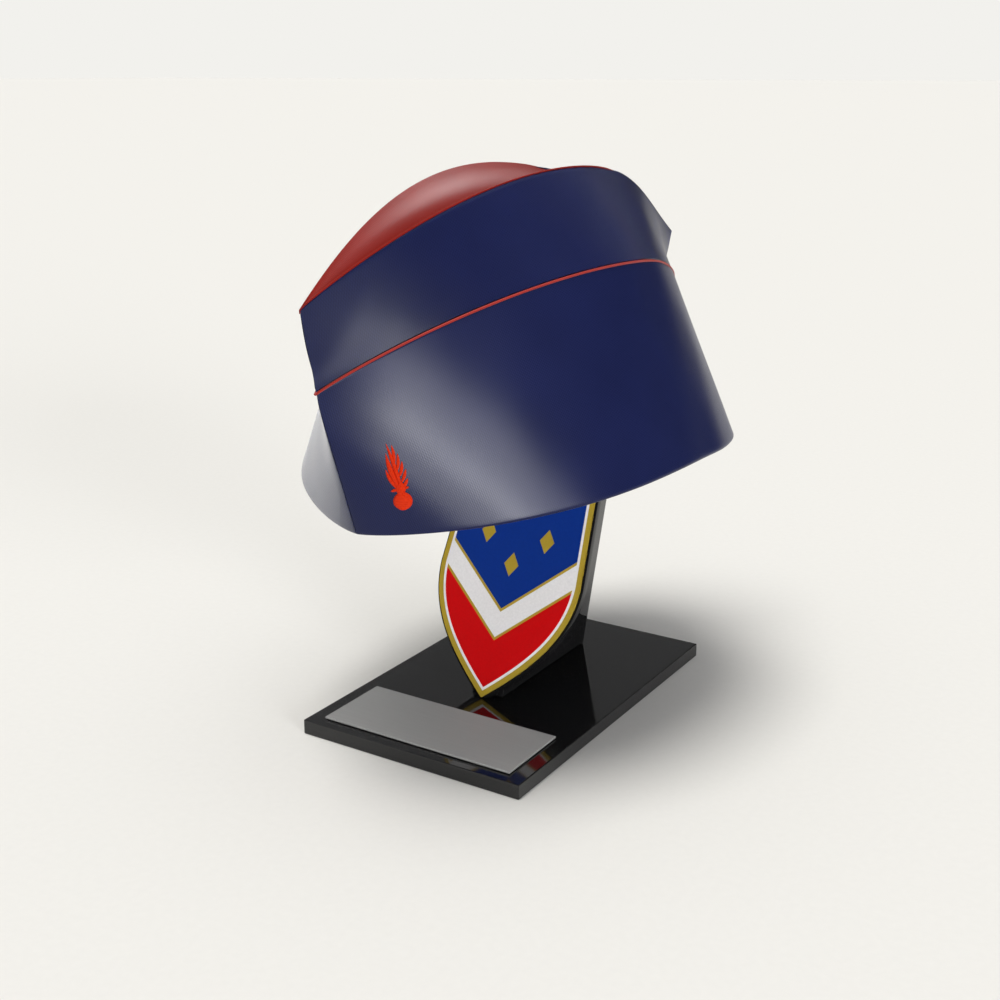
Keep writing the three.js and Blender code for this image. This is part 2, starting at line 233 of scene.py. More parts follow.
def close_material(tree, shader):
    add_node(tree, "ShaderNodeOutputMaterial", {"Surface": shader.outputs[0]})


def woven_wool(name, shade, light, roughness, shine):
    """Woven wool, pressed smooth: a fine diagonal rib with fibre fuzz and a soft broad shine."""
    material, tree = new_material(name)
    uv = add_node(tree, "ShaderNodeUVMap", uv_map="UVMap").outputs[0]
    rib = add_node(
        tree, "ShaderNodeTexWave",
        {"Vector": uv, "Scale": WAVE_DIAGONAL / (RIB_SPACING * MM), "Distortion": 0.8, "Detail": 1.5,
         "Detail Scale": 0.6},
        wave_type="BANDS", bands_direction="DIAGONAL")
    yarn = add_node(
        tree, "ShaderNodeTexWave",
        {"Vector": uv, "Scale": WAVE_STRAIGHT / (RIB_SPACING * 0.8 * MM), "Distortion": 1.2, "Detail": 1},
        wave_type="BANDS", bands_direction="X")
    fuzz = add_node(
        tree, "ShaderNodeTexNoise", {"Vector": uv, "Scale": 1 / (0.5 * MM), "Detail": 3, "Roughness": 0.6})
    wear = add_node(tree, "ShaderNodeTexNoise", {"Vector": uv, "Scale": 1 / (28 * MM), "Detail": 2})
    weave = add_node(
        tree, "ShaderNodeMath", {0: rib.outputs["Fac"], 1: 0.6, 2: yarn.outputs["Fac"]},
        operation="MULTIPLY_ADD")
    relief = add_node(
        tree, "ShaderNodeMath", {0: fuzz.outputs["Fac"], 1: 0.9, 2: weave.outputs[0]},
        operation="MULTIPLY_ADD")
    tone = add_node(
        tree, "ShaderNodeMapRange", {"Value": relief.outputs[0], "From Min": 0.4, "From Max": 2.0})
    cloth = add_node(
        tree, "ShaderNodeMix",
        {0: tone.outputs[0], 6: to_linear(shade), 7: to_linear(light)}, data_type="RGBA")
    patch = add_node(
        tree, "ShaderNodeMapRange",
        {"Value": wear.outputs["Fac"], "From Min": 0.3, "From Max": 0.7, "To Min": 0.93, "To Max": 1.07})
    colour = add_node(
        tree, "ShaderNodeHueSaturation", {"Color": cloth.outputs[2], "Value": patch.outputs[0]})
    gloss = add_node(
        tree, "ShaderNodeMapRange",
        {"Value": fuzz.outputs["Fac"], "To Min": roughness - 0.05, "To Max": roughness + 0.06})
    bump = add_node(
        tree, "ShaderNodeBump",
        {"Height": relief.outputs[0], "Strength": 0.2, "Distance": 0.05 * MM})
    wool = add_node(
        tree, "ShaderNodeBsdfPrincipled",
        {"Base Color": colour.outputs[0], "Roughness": gloss.outputs[0], "Normal": bump.outputs[0],
         "IOR": 1.5, "Specular IOR Level": shine})
    close_material(tree, wool)
    return material


def covered_cord(name, shade, light):
    """Cotton-covered piping cord: a bias cover whose threads wind round the cord, softly lit."""
    material, tree = new_material(name)
    along = add_node(tree, "ShaderNodeAttribute", attribute_name="along").outputs["Fac"]
    around = add_node(tree, "ShaderNodeAttribute", attribute_name="around").outputs["Fac"]
    place = add_node(tree, "ShaderNodeCombineXYZ", {"X": along, "Y": around})
    # Bias threads are 0.4 mm apart; they are drawn 0.9 mm apart so that they show.
    thread = add_node(
        tree, "ShaderNodeMath", {0: along, 1: 2 * math.pi / (0.9 * MM)}, operation="MULTIPLY")
    turn = add_node(
        tree, "ShaderNodeMath", {0: around, 1: 2 * math.pi * 3, 2: thread.outputs[0]},
        operation="MULTIPLY_ADD")
    wind = add_node(tree, "ShaderNodeMath", {0: turn.outputs[0]}, operation="SINE")
    fuzz = add_node(
        tree, "ShaderNodeTexNoise", {"Vector": place.outputs[0], "Scale": 1 / (0.8 * MM), "Detail": 2})
    tone = add_node(
        tree, "ShaderNodeMath", {0: wind.outputs[0], 1: 0.25, 2: fuzz.outputs["Fac"]},
        operation="MULTIPLY_ADD")
    colour = add_node(
        tree, "ShaderNodeMix",
        {0: tone.outputs[0], 6: to_linear(shade), 7: to_linear(light)}, data_type="RGBA")
    bump = add_node(
        tree, "ShaderNodeBump", {"Height": wind.outputs[0], "Strength": 0.3, "Distance": 0.05 * MM})
    cover = add_node(
        tree, "ShaderNodeBsdfPrincipled",
        {"Base Color": colour.outputs[2], "Normal": bump.outputs[0], "Roughness": 0.55,
         "Sheen Weight": 0.1})
    close_material(tree, cover)
    return material


def rayon_thread(name, shade, light):
    """Rayon embroidery thread: saturated, with a soft shine along each laid stitch."""
    material, tree = new_material(name)
    place = add_node(tree, "ShaderNodeTexCoord").outputs["Object"]
    strand = add_node(
        tree, "ShaderNodeTexNoise", {"Vector": place, "Scale": 1 / (0.6 * MM), "Detail": 3})
    colour = add_node(
        tree, "ShaderNodeMix",
        {0: strand.outputs["Fac"], 6: to_linear(shade), 7: to_linear(light)}, data_type="RGBA")
    gloss = add_node(
        tree, "ShaderNodeMapRange", {"Value": strand.outputs["Fac"], "To Min": 0.45, "To Max": 0.65})
    thread = add_node(
        tree, "ShaderNodeBsdfPrincipled",
        {"Base Color": colour.outputs[2], "Roughness": gloss.outputs[0], "Specular IOR Level": 0.15})
    close_material(tree, thread)
    return material


def cast_acrylic(name):
    """Cast black acrylic, flame polished: a mirror-like face with faint smears of handling."""
    material, tree = new_material(name)
    place = add_node(tree, "ShaderNodeTexCoord").outputs["Object"]
    smear = add_node(
        tree, "ShaderNodeTexNoise",
        {"Vector": place, "Scale": 1 / (18 * MM), "Detail": 4, "Distortion": 0.6})
    dust = add_node(
        tree, "ShaderNodeTexNoise", {"Vector": place, "Scale": 1 / (0.7 * MM), "Detail": 2})
    gloss = add_node(
        tree, "ShaderNodeMapRange",
        {"Value": smear.outputs["Fac"], "From Min": 0.35, "From Max": 0.75, "To Min": 0.03, "To Max": 0.1})
    speck = add_node(
        tree, "ShaderNodeMapRange", {"Value": dust.outputs["Fac"], "From Min": 0.62, "From Max": 0.85})
    colour = add_node(
        tree, "ShaderNodeMix",
        {0: speck.outputs[0], 6: to_linear("#1e1e1f"), 7: to_linear("#282829")}, data_type="RGBA")
    acrylic = add_node(
        tree, "ShaderNodeBsdfPrincipled",
        {"Base Color": colour.outputs[2], "Roughness": gloss.outputs[0], "IOR": 1.49})
    close_material(tree, acrylic)
    return material


def brushed_aluminium(name):
    """Satin aluminium brushed along its length: grey, with fine streaks that spread the shine."""
    material, tree = new_material(name)
    place = add_node(tree, "ShaderNodeTexCoord").outputs["Object"]
    # Brush lines are about 0.1 mm apart; they are drawn 0.4 mm apart so that they show.
    stretch = add_node(
        tree, "ShaderNodeMapping",
        {"Vector": place, "Scale": (1 / (25 * MM), 1 / (0.4 * MM), 1 / (0.4 * MM))})
    brush = add_node(
        tree, "ShaderNodeTexNoise", {"Vector": stretch.outputs[0], "Scale": 1, "Detail": 3})
    colour = add_node(
        tree, "ShaderNodeMix",
        {0: brush.outputs["Fac"], 6: to_linear("#5f5f5e"), 7: to_linear("#6f6f6e")}, data_type="RGBA")
    gloss = add_node(
        tree, "ShaderNodeMapRange", {"Value": brush.outputs["Fac"], "To Min": 0.5, "To Max": 0.64})
    bump = add_node(
        tree, "ShaderNodeBump", {"Height": brush.outputs["Fac"], "Strength": 0.12, "Distance": 0.02 * MM})
    metal = add_node(
        tree, "ShaderNodeBsdfPrincipled",
        {"Base Color": colour.outputs[2], "Metallic": 0.15, "Roughness": gloss.outputs[0],
         "Normal": bump.outputs[0]})
    close_material(tree, metal)
    return material


def printed_ink(name, ink, metallic=0.0):
    """Screen print under a clear film: an even colour with a slight grain and a sharp film shine."""
    material, tree = new_material(name)
    place = add_node(tree, "ShaderNodeTexCoord").outputs["Object"]
    grain = add_node(tree, "ShaderNodeTexNoise", {"Vector": place, "Scale": 1 / (0.9 * MM), "Detail": 2})
    density = add_node(
        tree, "ShaderNodeMapRange", {"Value": grain.outputs["Fac"], "To Min": 0.9, "To Max": 1.1})
    colour = add_node(
        tree, "ShaderNodeHueSaturation", {"Color": to_linear(ink), "Value": density.outputs[0]})
    gloss = add_node(
        tree, "ShaderNodeMapRange", {"Value": grain.outputs["Fac"], "To Min": 0.4, "To Max": 0.5})
    print_film = add_node(
        tree, "ShaderNodeBsdfPrincipled",
        {"Base Color": colour.outputs[0], "Metallic": metallic, "Roughness": gloss.outputs[0],
         "Specular IOR Level": 0.2, "Coat Weight": 0.3, "Coat Roughness": 0.12})
    close_material(tree, print_film)
    return material


def studio_paper(name):
    """Matt white seamless paper under the stand, with a barely seen tooth."""
    material, tree = new_material(name)
    place = add_node(tree, "ShaderNodeTexCoord").outputs["Object"]
    tooth = add_node(tree, "ShaderNodeTexNoise", {"Vector": place, "Scale": 1 / (3 * MM), "Detail": 2})
    colour = add_node(
        tree, "ShaderNodeMix",
        {0: tooth.outputs["Fac"], 6: to_linear("#e5e4e1"), 7: to_linear("#e9e8e5")}, data_type="RGBA")
    paper = add_node(
        tree, "ShaderNodeBsdfPrincipled",
        {"Base Color": colour.outputs[2], "Roughness": 0.9, "Specular IOR Level": 0.0})
    close_material(tree, paper)
    return material


def ramp(value, start, end):
    """0 up to the start, 1 from the end on, and even between them."""
    return np.clip((value - start) / (end - start), 0, 1)


def half_width(line, t):
    ahead = np.clip(1 - t / line.widest, 0, 1)
    behind = np.clip((t - line.widest) / (1 - line.widest), 0, 1)
    front = (1 - ahead ** line.front_full) ** line.front_point
    rear = (1 - behind ** line.rear_full) ** line.rear_point
    return line.half_width * front * rear


def line_point(line, t):
    """Points on the left half of a cap line, in mm; t runs from the front seam to the rear seam."""
    t = np.asarray(t, float)
    y = RIM_FRONT_Y + line.front + (line.rear - line.front) * t
    rise = line.front_rise + (line.rear_rise - line.front_rise) * t
    z = RIM_FRONT_Z + rise + 4 * line.arch * t * (1 - t)
    return np.stack([GAP / 2 + half_width(line, t), y, z], axis=-1)


def wall_point(t, level):
    """Points on the left wall: level 0 is the rim, 1 the turn-up's fold line and 2 the top ridge."""
    t, level = np.broadcast_arrays(t, level)
    rim, fold, ridge = (line_point(line, t) for line in (RIM, FOLD, RIDGE))
    low = np.minimum(level, 1)[..., None]
    high = np.clip(level - 1, 0, 1)[..., None]
    return rim + (fold - rim) * low + (ridge - fold) * high


def wall_normal(t, level):
    ahead, behind = np.minimum(t + SLOPE_STEP, 1), np.maximum(t - SLOPE_STEP, 0)
    along = wall_point(ahead, level) - wall_point(behind, level)
    up = wall_point(t, np.minimum(level + SLOPE_STEP, 2)) - wall_point(t, level - SLOPE_STEP)
    normal = np.cross(along, up)
    return normal / np.linalg.norm(normal, axis=-1, keepdims=True)


def inside_wall(t, level, depth):
    """Points at a depth inside the left wall, kept on its own side of the seams."""
    t, level, depth = np.broadcast_arrays(t, level, depth)
    points = wall_point(t, level) - depth[..., None] * wall_normal(t, level)
    points[..., 0] = np.maximum(points[..., 0], SEAM_PLANE)
    return points


def round_seams(points, t, level):
    """Draws the cloth back at the front and rear seams so that the two halves meet in a round edge."""
    normal = wall_normal(t, level)
    sine = np.abs(normal[..., 1]) / np.hypot(normal[..., 0], normal[..., 1])
    sine = np.clip(sine, SEAM_SHARPEST, 1)
    x = np.minimum(points[..., 0], SEAM_ROUND * np.sqrt(1 - sine ** 2))
    slope = np.sqrt(1 - sine ** 2) / sine
    back = SEAM_ROUND / sine - np.sqrt(SEAM_ROUND ** 2 - x ** 2) - x * slope
    points[..., 1] += np.where(t < 0.5, back, -back)
    return points


def cloth_drift(t, level):
    """Slight unevenness of the cloth, in mm outwards."""
    waves = sum(np.sin(2 * np.pi * (along * t + up * level) + phase) for along, up, phase in DRIFT_WAVES)
    return DRIFT * waves / len(DRIFT_WAVES)


def stations():
    """Shares along the cap, closer together towards the front and rear seams."""
    return 0.5 - 0.5 * np.cos(np.pi * np.arange(STATIONS) / (STATIONS - 1))


def ring_shell(rings):
    """A closed shell through a row of closed section rings, capped at both ends, with UVs in metres."""
    rows, corners, _ = rings.shape
    index = np.arange(rows * corners).reshape(rows, corners)
    along = np.linalg.norm(np.diff(rings, axis=0), axis=-1)
    along = np.concatenate([np.zeros((1, corners)), np.cumsum(along, axis=0)])
    along = along - along[rows // 2]
    closed = np.concatenate([rings, rings[:, :1]], axis=1)
    around = np.linalg.norm(np.diff(closed, axis=1), axis=-1)
    around = np.concatenate([np.zeros((rows, 1)), np.cumsum(around, axis=1)], axis=1)
    faces, uvs = [], []
    for i in range(rows - 1):
        for j in range(corners):
            k = (j + 1) % corners
            faces.append((index[i, j], index[i + 1, j], index[i + 1, k], index[i, k]))
            uvs.append(((along[i, j], around[i, j]), (along[i + 1, j], around[i + 1, j]),
                        (along[i + 1, k], around[i + 1, j + 1]), (along[i, k], around[i, j + 1])))
    first = [(along[0, j], around[0, j]) for j in range(corners)]
    last = [(along[-1, j], around[-1, j]) for j in range(corners)]
    faces += [tuple(index[0]), tuple(index[-1][::-1])]
    uvs += [tuple(first), tuple(last[::-1])]
    return rings.reshape(-1, 3), faces, uvs


def linked(name, data):
    """A new object in the scene."""
    thing = bpy.data.objects.new(name, data)
    bpy.context.collection.objects.link(thing)
    return thing


def set_smooth(mesh, crease):
    """Smooth shading, broken at edges sharper than an angle in degrees."""
    mesh.shade_smooth()
    mesh.set_sharp_from_angle(angle=math.radians(crease))


def mesh_piece(name, shells, materials, crease, mirrored=False):
    """One object from shells in mm, one material each; a mirrored one is the wearer's right-hand twin."""
    points, faces, uvs, paint = [], [], [], []
    kinds = list(dict.fromkeys(materials))
    for (shell_points, shell_faces, shell_uvs), material in zip(shells, materials):
        start = len(points)
        points += [tuple(p) for p in shell_points * MM]
        faces += [tuple(int(v) + start for v in face) for face in shell_faces]
        uvs += shell_uvs
        paint += [kinds.index(material)] * len(shell_faces)
    if mirrored:
        points = [(-x, y, z) for x, y, z in points]
        faces = [face[::-1] for face in faces]
        uvs = [corners[::-1] for corners in uvs]
    mesh = bpy.data.meshes.new(name)
    mesh.from_pydata(points, [], faces)
    layer = mesh.uv_layers.new(name="UVMap")
    flat = np.array([value * MM for corners in uvs for corner in corners for value in corner])
    layer.data.foreach_set("uv", flat)
    for material in kinds:
        mesh.materials.append(material)
    mesh.polygons.foreach_set("material_index", paint)
    set_smooth(mesh, crease)
    return linked(name, mesh)


def settle(piece, slot, *nodes):
    """Puts a finished piece on the body in place of the solids it dresses; its slot is not used."""
    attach(piece, "root")
    if nodes:
        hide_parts(*nodes)
    return piece


def freeze(piece):
    """Turns a piece with its modifiers into a plain mesh."""
    graph = bpy.context.evaluated_depsgraph_get()
    mesh = bpy.data.meshes.new_from_object(piece.evaluated_get(graph))
    piece.modifiers.clear()
    piece.data = mesh
    return piece


def turn_up_rings(t):
    """The turned-up band: an outer face, a round roll at the rim and a narrow hem inside it."""
    height = np.linalg.norm(line_point(FOLD, t) - line_point(RIM, t), axis=-1)[:, None]
    rim = height - RIM_ROLL + RIM_DROP
    face_top = TURN_UP_EDGE + TURN_UP_ROUND
    # The last two rows of the outer face lie close together, so that it stays flat up to the rounding.
    outer_shares = np.append(np.linspace(0, 0.994, 43), 1)
    outer = rim + (face_top - rim) * outer_shares
    edge = TURN_UP_EDGE + np.array([[EDGE_CORNER, 0, 0, EDGE_CORNER]]) + 0 * height
    back_shares = np.linspace(0, 1, 10)
    back = face_top + (height - HEM - 2 * HEM_STEP - face_top) * back_shares
    hem = height - HEM + np.array([[0, HEM_STEP, 1.0, 2.5, 4.0]])
    turn = np.linspace(np.pi, 0, 11)[1:-1]
    roll = rim + RIM_ROLL * np.sin(turn)
    below = np.concatenate([outer, edge, back, hem, rim, roll], axis=1)
    cloth = TURN_UP_CLOTH
    hem_face = 2 * RIM_ROLL
    depth = np.concatenate([
        np.zeros_like(outer_shares),
        [EDGE_CORNER, EDGE_FLAT, cloth - EDGE_FLAT, cloth - EDGE_CORNER],
        np.full_like(back_shares, cloth),
        [cloth + HEM_STEP, cloth + HEM_LIP, hem_face, hem_face, hem_face, hem_face],
        RIM_ROLL - RIM_ROLL * np.cos(turn)])
    level = 1 - below / height
    along = np.broadcast_to(t[:, None], level.shape)
    face = inside_wall(along, level, depth - cloth_drift(along, level))
    return round_seams(face, along, level)


def rear_cover(t):
    """How far a side panel's top edge covers the crown's welt: not in front, wholly at the rear."""
    share = ramp(t, COVER_START, COVER_START + COVER_SPAN)
    return share * share * (3 - 2 * share)


def side_panel_rings(t):
    """A side panel: from above the hem, up behind the turn-up, to a rounded edge along the crown's welt."""
    hidden, bend, shown = ((PANEL_LOW, 0.94, 7), (0.98, 1.03, 11), (1.05, 1.975, 42))
    levels = np.concatenate([np.linspace(*rows) for rows in (hidden, bend, shown)])
    along, level = np.broadcast_arrays(t[:, None], levels[None, :])
    # Above the fold the panel comes out to the wall's face towards the seams; below it, it tucks in.
    above = ramp(level, 1, 1 + 1 / 12)
    nose = above * np.exp(-wall_point(along, level)[..., 0] / PANEL_NOSE)
    tucked = ramp(level, PANEL_TUCK_LEVEL, PANEL_TUCK_LEVEL - PANEL_TUCK_SPAN)
    covered = PANEL_INSET + (GAP + TURN_UP_CLOTH - PANEL_INSET) * tucked
    depth = covered * np.minimum(1, 2 - level) * (1 - nose)
    fade = ramp(level, 1, 1.25) * ramp(level, 2, 2 - 1 / 6)
    outer = inside_wall(along, level, depth - fade * cloth_drift(along, level))
    before = outer[:, -1:, 1].copy()
    outer = round_seams(outer, along, level)
    drawn_back = outer[:, -1:, 1] - before
    inner = inside_wall(along, level, depth + PANEL_CLOTH)
    least = outer[..., 1] + PANEL_SEAM_DEPTH
    most = outer[..., 1] - PANEL_SEAM_DEPTH
    inner_y = inner[..., 1]
    inner[..., 1] = np.where(along < 0.5, np.maximum(inner_y, least), np.minimum(inner_y, most))
    ridge = line_point(RIDGE, t)
    edge = np.array(PANEL_TOP_EDGE)
    top = np.repeat(ridge[:, None], len(edge), axis=1)
    top[..., 0] = np.maximum(top[..., 0] + edge[:, 0], SEAM_PLANE)
    top[..., 1] += drawn_back
    top[..., 2] += edge[:, 1] + PANEL_COVER * rear_cover(t)[:, None]
    return np.concatenate([outer, top, inner[:, ::-1]], axis=1)


def crown_rings(t):
    """The crown gusset: a rounded welt along each ridge and a valley between them."""
    ridge = line_point(RIDGE, t)
    wide = ridge[:, :1] - GAP / 2 + CROWN_OVERLAP
    # The welt thins out where the crown narrows to its ends.
    welt = np.minimum(CROWN_WELT, wide / 2.5)
    turn = np.radians(np.linspace(*WELT_TURN, 9))
    welt_x = wide - welt + welt * np.cos(turn)
    welt_z = welt * np.sin(turn)
    share = np.linspace(1, 0, 12)[1:]
    valley_x = welt_x[:, -1:] * share
    valley_z = welt_z[:, -1:] - CROWN_SINK * (wide / RIDGE.half_width) * (1 - share ** 2)
    half_x = np.concatenate([welt_x, valley_x], axis=1)
    half_z = np.concatenate([welt_z, valley_z], axis=1)
    under_share = np.linspace(-0.97, 0.97, 13)
    under_x = welt_x[:, -1:] * under_share
    under_z = -CROWN_CLOTH - CROWN_SINK * (wide / RIDGE.half_width) * (1 - under_share ** 2)
    x = np.concatenate([half_x, -half_x[:, -2::-1], under_x], axis=1)
    z = np.concatenate([half_z, half_z[:, -2::-1], under_z], axis=1)
    y = np.broadcast_to(ridge[:, 1:2], x.shape)
    return np.stack([x, y, z + ridge[:, 2:] - CROWN_TUCK * rear_cover(t)[:, None]], axis=-1)


def path_piece(name, path, tree, sizes):
    """A path in mm drawn as mesh edges and grown by a geometry nodes tree into a plain mesh."""
    mesh = bpy.data.meshes.new(name)
    mesh.from_pydata([tuple(p) for p in path * MM], [(k, k + 1) for k in range(len(path) - 1)], [])
    piece = linked(name, mesh)
    modifier = piece.modifiers.new(name, "NODES")
    modifier.node_group = tree
    for socket in tree.interface.items_tree:
        if socket.name in sizes:
            modifier[socket.identifier] = sizes[socket.name]
    return freeze(piece)


def tree_with_sizes(name, sizes):
    """A geometry nodes tree that takes a path and named sizes in metres."""
    tree = bpy.data.node_groups.new(name, "GeometryNodeTree")
    tree.interface.new_socket("Path", in_out="INPUT", socket_type="NodeSocketGeometry")
    for size in sizes:
        tree.interface.new_socket(size, in_out="INPUT", socket_type="NodeSocketFloat")
    tree.interface.new_socket("Piece", in_out="OUTPUT", socket_type="NodeSocketGeometry")
    sockets = add_node(tree, "NodeGroupInput").outputs
    curve = add_node(tree, "GeometryNodeMeshToCurve", {"Mesh": sockets["Path"]})
    return tree, sockets, curve.outputs[0]


def close_tree(tree, geometry, material):
    real = add_node(tree, "GeometryNodeRealizeInstances", {"Geometry": geometry})
    smooth = add_node(tree, "GeometryNodeSetShadeSmooth", {"Geometry": real.outputs[0]})
    painted = add_node(
        tree, "GeometryNodeSetMaterial", {"Geometry": smooth.outputs[0], "Material": material})
    add_node(tree, "NodeGroupOutput", {"Piece": painted.outputs[0]})


def piping_tree(material):
    """Round cord along a path, which remembers how far along and around it each point is."""
    tree, sizes, path = tree_with_sizes("piping cord", ["Radius"])
    spline = add_node(tree, "GeometryNodeSplineParameter")
    marked = add_node(
        tree, "GeometryNodeStoreNamedAttribute",
        {"Geometry": path, "Name": "along", "Value": spline.outputs["Length"]})
    circle = add_node(
        tree, "GeometryNodeCurvePrimitiveCircle", {"Resolution": 12, "Radius": sizes["Radius"]})
    profile = add_node(
        tree, "GeometryNodeStoreNamedAttribute",
        {"Geometry": circle.outputs[0], "Name": "around", "Value": spline.outputs["Factor"]})
    cord = add_node(
        tree, "GeometryNodeCurveToMesh",
        {"Curve": marked.outputs[0], "Profile Curve": profile.outputs[0], "Fill Caps": True})
    close_tree(tree, cord.outputs[0], material)
    return tree


def stitch_tree(material):
    """A row of machine stitches: slim rounded threads laid end to end along a path."""
    tree, sizes, path = tree_with_sizes("stitch row", ["Pitch", "Stitch", "Thread"])
    points = add_node(
        tree, "GeometryNodeCurveToPoints", {"Curve": path, "Length": sizes["Pitch"]}, mode="LENGTH")
    facing = add_node(
        tree, "FunctionNodeAlignRotationToVector", {"Vector": points.outputs["Tangent"]}, axis="X")
    uneven = add_node(
        tree, "FunctionNodeRandomValue", {2: 0.42, 3: 0.52, "Seed": 7}, data_type="FLOAT")
    length = add_node(
        tree, "ShaderNodeMath", {0: uneven.outputs[1], 1: sizes["Stitch"]}, operation="MULTIPLY")
    scale = add_node(
        tree, "ShaderNodeCombineXYZ",
        {"X": length.outputs[0], "Y": sizes["Thread"], "Z": sizes["Thread"]})
    thread = add_node(tree, "GeometryNodeMeshUVSphere", {"Segments": 6, "Rings": 5, "Radius": 1.0})
    row = add_node(
        tree, "GeometryNodeInstanceOnPoints",
        {"Points": points.outputs[0], "Instance": thread.outputs[0], "Rotation": facing.outputs[0],
         "Scale": scale.outputs[0]})
    close_tree(tree, row.outputs[0], material)
    return tree


def bezier(points, share):
    """A Bezier curve of any degree through its control points, at each share."""
    points = [np.array(p, float) for p in points]
    share = np.asarray(share)[..., None]
    while len(points) > 1:
        points = [a + (b - a) * share for a, b in zip(points, points[1:])]
    return points[0]


def turned(points, degrees):
    """Flat points turned clockwise."""
    angle = math.radians(degrees)
    x, y = points[..., 0], points[..., 1]
    return np.stack([x * math.cos(angle) + y * math.sin(angle),
                     y * math.cos(angle) - x * math.sin(angle)], axis=-1)


def on_turn_up(flat, height):
    """Badge drawing points laid on the left of the turn-up, standing off it by a height."""
    middle = wall_point(BADGE_ALONG, BADGE_LEVEL)
    per_share = (wall_point(BADGE_ALONG + SLOPE_STEP, BADGE_LEVEL) - middle) / SLOPE_STEP
    per_level = (wall_point(BADGE_ALONG, BADGE_LEVEL + SLOPE_STEP) - middle) / SLOPE_STEP
    out = wall_normal(BADGE_ALONG, BADGE_LEVEL)
    across = np.cross((0, 0, 1), out)
    across /= np.linalg.norm(across)
    axes = np.stack([across, np.cross(out, across)])
    to_wall = np.linalg.inv(axes @ np.stack([per_share, per_level], axis=1))
    place = flat @ to_wall.T
    t = BADGE_ALONG + place[..., 0]
    level = BADGE_LEVEL + place[..., 1]
    return inside_wall(t, level, -cloth_drift(t, level) - height)


def satin_patch(left, right, length):
    """Satin stitches laid side by side between two edges: a padded mound ridged by its threads."""
    threads = max(6, round(length / BADGE_THREAD))
    share = np.linspace(0, 1, threads * SATIN_ROWS + 1)
    across = np.linspace(0, 1, SATIN_COLUMNS)
    left, right = left(share)[:, None], right(share)[:, None]
    flat = left + (right - left) * across[None, :, None]
    width = np.linalg.norm(right - left, axis=-1)
    rise = BADGE_RISE * np.clip(width / BADGE_FULL_WIDTH, BADGE_LEAST_RISE, 1)
    mound = rise * np.sin(np.pi * across) ** 0.5
    ridge = BADGE_RELIEF * np.abs(np.sin(np.pi * threads * share))[:, None] * np.sin(np.pi * across) ** 0.3
    top = on_turn_up(flat, mound + ridge)
    under = on_turn_up(flat[:, ::-2], np.full((1, 1), -BADGE_SUNK))
    return ring_shell(np.concatenate([top[:, ::-1], under[:, ::-1]], axis=1))


def tongue_patch(tongue):
    half_root = TONGUE_ROOT_SHARE * tongue.breadth / 2
    belly = TONGUE_BELLY_SHARE * tongue.reach
    root = np.array([tongue.across, tongue.up])

    def edge(side):
        controls = [(side * half_root, 0), (tongue.curl + side * tongue.breadth, belly), (0, tongue.reach)]
        return lambda share: root + turned(bezier(controls, share), tongue.lean)

    return satin_patch(edge(-1), edge(1), tongue.reach)


def ball_patch():
    def edge(side):
        def arc(share):
            turn = np.pi * share
            return BADGE_BALL * np.stack([side * np.sin(turn), -np.cos(turn)], axis=-1)
        return arc

    return satin_patch(edge(-1), edge(1), 2 * BADGE_BALL)


def upright_point(x, rise, out):
    """Points on the leaning upright: across it, up it, and out from its front face, in mm."""
    lean_y, lean_z = math.sin(UPRIGHT_LEAN), math.cos(UPRIGHT_LEAN)
    x, rise, out = np.broadcast_arrays(np.asarray(x, float), rise, out)
    y = UPRIGHT_FOOT_Y + rise * lean_y - out * lean_z
    z = BASE_TOP + rise * lean_z + out * lean_y
    return np.stack([UPRIGHT_MIDDLE_X + x, y, z], axis=-1)


def shield_outline():
    """The shield's outline, anticlockwise from its tip, in mm on the upright's plane."""
    side = bezier(
        [SHIELD_TIP, SHIELD_TIP_HANDLE, SHIELD_SHOULDER_HANDLE, SHIELD_SHOULDER], np.linspace(0, 1, 40))
    right = np.concatenate([side, [SHIELD_TOP]])
    left = right[:0:-1] * np.array([-1, 1])
    return np.concatenate([right, left])


def inset(outline, distance):
    """An outline moved inwards by a distance, mitred at its corners."""
    before = outline - np.roll(outline, 1, axis=0)
    after = np.roll(outline, -1, axis=0) - outline
    before, after = (e / np.linalg.norm(e, axis=-1, keepdims=True) for e in (before, after))
    inward = [np.stack([-e[:, 1], e[:, 0]], axis=-1) for e in (before, after)]
    mitre = inward[0] + inward[1]
    mitre /= np.linalg.norm(mitre, axis=-1, keepdims=True)
    reach = distance / np.maximum(np.sum(mitre * inward[0], axis=-1, keepdims=True), MITRE_LEAST)
    moved = outline + mitre * reach
    return moved[moved[:, 0] * outline[:, 0] >= 0]


def kept_side(outline, normal, least):
    """The part of a convex outline where its product with a normal is at least a value."""
    kept = []
    for here, there in zip(outline, np.roll(outline, -1, axis=0)):
        a, b = np.dot(here, normal) - least, np.dot(there, normal) - least
        if a >= 0:
            kept.append(here)
        if a * b < 0:
            kept.append(here + (there - here) * a / (a - b))
    return np.array(kept)


def both_sides(half):
    """A right-hand half outline and its mirror image as one outline."""
    on_axis = half[:, 0] < 1e-6
    start = np.argmin(np.where(on_axis, half[:, 1], np.inf))
    half = np.roll(half, -start, axis=0)
    mirror = half[half[:, 0] >= 1e-6][::-1] * np.array([-1, 1])
    return np.concatenate([half, mirror])


def upright_prism(outline, low, high):
    """A flat outline on the upright as a closed slab between two distances out from its front face."""
    count = len(outline)
    points = np.concatenate([upright_point(outline[:, 0], outline[:, 1], out) for out in (low, high)])
    faces = [tuple(range(count, 2 * count)), tuple(range(count))[::-1]]
    for k in range(count):
        n = (k + 1) % count
        faces.append((k, n, n + count, k + count))
    uvs = [tuple(tuple(outline[v % count]) for v in face) for face in faces]
    return points, faces, uvs


